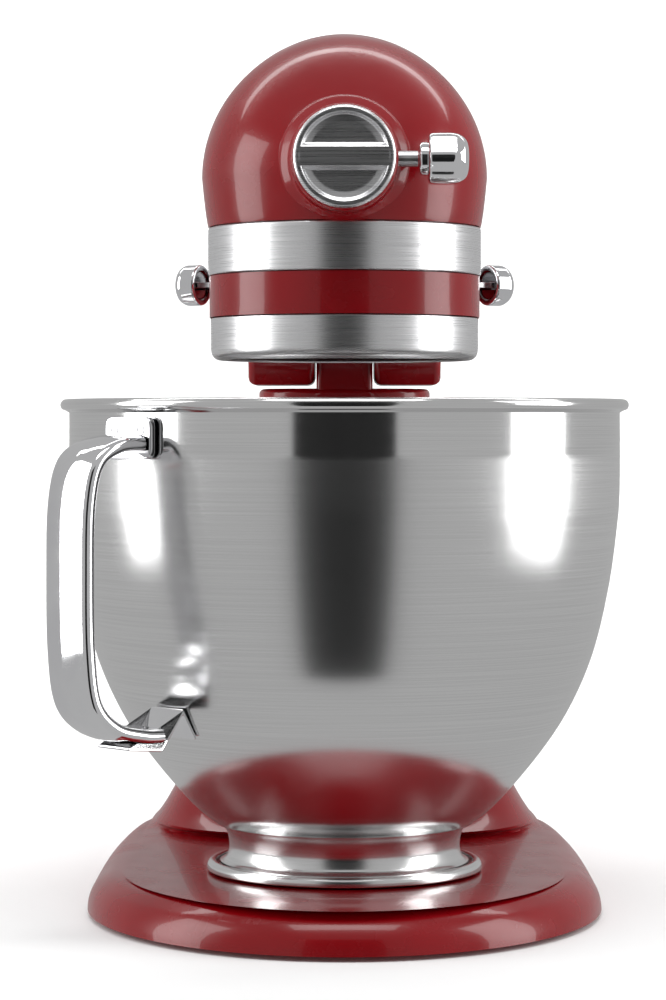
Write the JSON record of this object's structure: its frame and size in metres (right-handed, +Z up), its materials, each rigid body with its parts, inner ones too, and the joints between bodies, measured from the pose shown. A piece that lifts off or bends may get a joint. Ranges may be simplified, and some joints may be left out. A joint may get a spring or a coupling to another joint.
{
  "type": "stand mixer",
  "caption": "Tilt-head kitchen stand mixer: enamelled base and head, planetary drive, accessory hub and a steel bowl with a side handle.",
  "frame": {"origin": "middle of the bounding box on the worktop plane", "axes": "+Z up, the hub and bowl face -Y, +X is to the right seen from the front"},
  "size_m": [0.2242, 0.3571, 0.3533],
  "materials": {
    "enamel": "gloss",
    "satin_trim": "satin",
    "chrome": "polished",
    "bowl_steel": "satin",
    "steel": "satin",
    "gear_steel": "satin",
    "cast_metal": "matte",
    "bronze": "satin",
    "lamination": "matte",
    "copper": "satin",
    "black_plastic": "matte",
    "board": "matte",
    "carbon": "matte",
    "rubber": "matte"
  },
  "bodies": {
    "stand": {"base_casting": "enamel", "pedestal": "enamel", "column_bolt_1": "steel", "column_bolt_2": "steel", "column_bolt_3": "steel", "column_bolt_4": "steel", "rubber_foot_1": "rubber", "rubber_foot_2": "rubber", "rubber_foot_3": "rubber", "rubber_foot_4": "rubber", "rubber_foot_5": "rubber", "bowl_clamp_plate": "satin_trim", "clamp_screw_1": "steel", "clamp_screw_2": "steel", "clamp_screw_3": "steel", "hinge_pin": "steel"},
    "height_screw": {"height_adjusting_screw": "steel"},
    "head": {"head_upper_shell": "enamel", "head_lower_shell": "enamel", "rear_cover": "enamel", "upper_trim_band": "satin_trim", "lower_trim_ring": "satin_trim", "cord_gland": "rubber", "center_shaft_bearing": "bronze", "internal_ring_gear": "gear_steel", "gear_bracket": "cast_metal", "motor_stator": "lamination", "front_motor_bearing": "bronze", "rear_motor_bearing": "bronze", "carbon_brush_left": "carbon", "carbon_brush_right": "carbon", "brush_cap_left": "black_plastic", "brush_cap_right": "black_plastic", "control_plate": "board"},
    "planetary": {"planetary_housing": "cast_metal", "center_shaft": "gear_steel", "center_bevel_gear": "gear_steel"},
    "beater_drive": {"beater_shaft": "gear_steel", "beater_pinion": "gear_steel"},
    "worm_shaft": {"worm_gear": "bronze", "worm_gear_shaft": "gear_steel", "bevel_pinion": "gear_steel"},
    "hub_gear": {"hub_bevel_gear": "gear_steel"},
    "motor_rotor": {"armature": "lamination", "worm": "gear_steel", "commutator": "copper", "cooling_fan": "black_plastic"},
    "lock": {"lock_lever": "steel", "lock_knob": "chrome"},
    "speed": {"speed_lever": "steel", "speed_knob": "chrome"},
    "screw_pin": {"thumbscrew_pin": "steel"},
    "screw_knob": {"thumbscrew_knob": "chrome"},
    "hub_cap": {"hub_cover": "satin_trim"},
    "bowl": {"bowl_shell": "bowl_steel", "bowl_foot": "bowl_steel", "bowl_handle": "chrome", "handle_upper_bracket": "chrome", "handle_lower_bracket": "chrome"}
  },
  "joints": [
    {"name": "head_tilt", "type": "hinge", "parent": "stand", "child": "head", "pos_m": [0, 0.0985, 0.228], "axis": [-1, 0, 0], "range_deg": [0, 48]},
    {"name": "bowl_twist", "type": "hinge", "parent": "stand", "child": "bowl", "pos_m": [0, -0.0665, 0.03], "axis": [0, 0, 1], "range_deg": [0, 35]},
    {"name": "height_screw_turn", "type": "hinge", "parent": "stand", "child": "height_screw", "pos_m": [0, 0.0735, 0.235], "axis": [0, 0, 1], "range_deg": [-180, 180]},
    {"name": "planetary_spin", "type": "hinge", "parent": "head", "child": "planetary", "pos_m": [0, -0.0665, 0.25], "axis": [0, 0, 1], "continuous": true},
    {"name": "beater_spin", "type": "hinge", "parent": "planetary", "child": "beater_drive", "pos_m": [0.02625, -0.0665, 0.235], "axis": [0, 0, 1], "continuous": true},
    {"name": "worm_shaft_spin", "type": "hinge", "parent": "head", "child": "worm_shaft", "pos_m": [0, -0.0665, 0.2947], "axis": [1, 0, 0], "continuous": true},
    {"name": "hub_gear_spin", "type": "hinge", "parent": "head", "child": "hub_gear", "pos_m": [0, -0.0665, 0.2947], "axis": [0, 1, 0], "continuous": true},
    {"name": "motor_spin", "type": "hinge", "parent": "head", "child": "motor_rotor", "pos_m": [0, -0.0665, 0.3187], "axis": [0, 1, 0], "continuous": true},
    {"name": "speed_slide", "type": "slide", "parent": "head", "child": "speed", "axis": [0, 1, 0], "range_m": [0, 0.035]},
    {"name": "lock_slide", "type": "slide", "parent": "head", "child": "lock", "axis": [0, 1, 0], "range_m": [0, 0.008]},
    {"name": "thumbscrew_feed", "type": "slide", "parent": "head", "child": "screw_pin", "axis": [1, 0, 0], "range_m": [0, 0.0025]},
    {"name": "thumbscrew_turn", "type": "hinge", "parent": "screw_pin", "child": "screw_knob", "pos_m": [0.035, -0.1265, 0.2947], "axis": [1, 0, 0], "range_deg": [0, 720]},
    {"name": "hub_cover_slide", "type": "slide", "parent": "head", "child": "hub_cap", "axis": [0, -1, 0], "range_m": [0, 0.03]}
  ],
  "couplings": [
    {"joint": "beater_spin", "follows": "planetary_spin", "ratio": -3.3333},
    {"joint": "worm_shaft_spin", "follows": "planetary_spin", "ratio": 2},
    {"joint": "hub_gear_spin", "follows": "planetary_spin", "ratio": -2},
    {"joint": "motor_spin", "follows": "planetary_spin", "ratio": 56},
    {"joint": "thumbscrew_turn", "follows": "thumbscrew_feed", "rad_per_m": 5026.5}
  ]
}
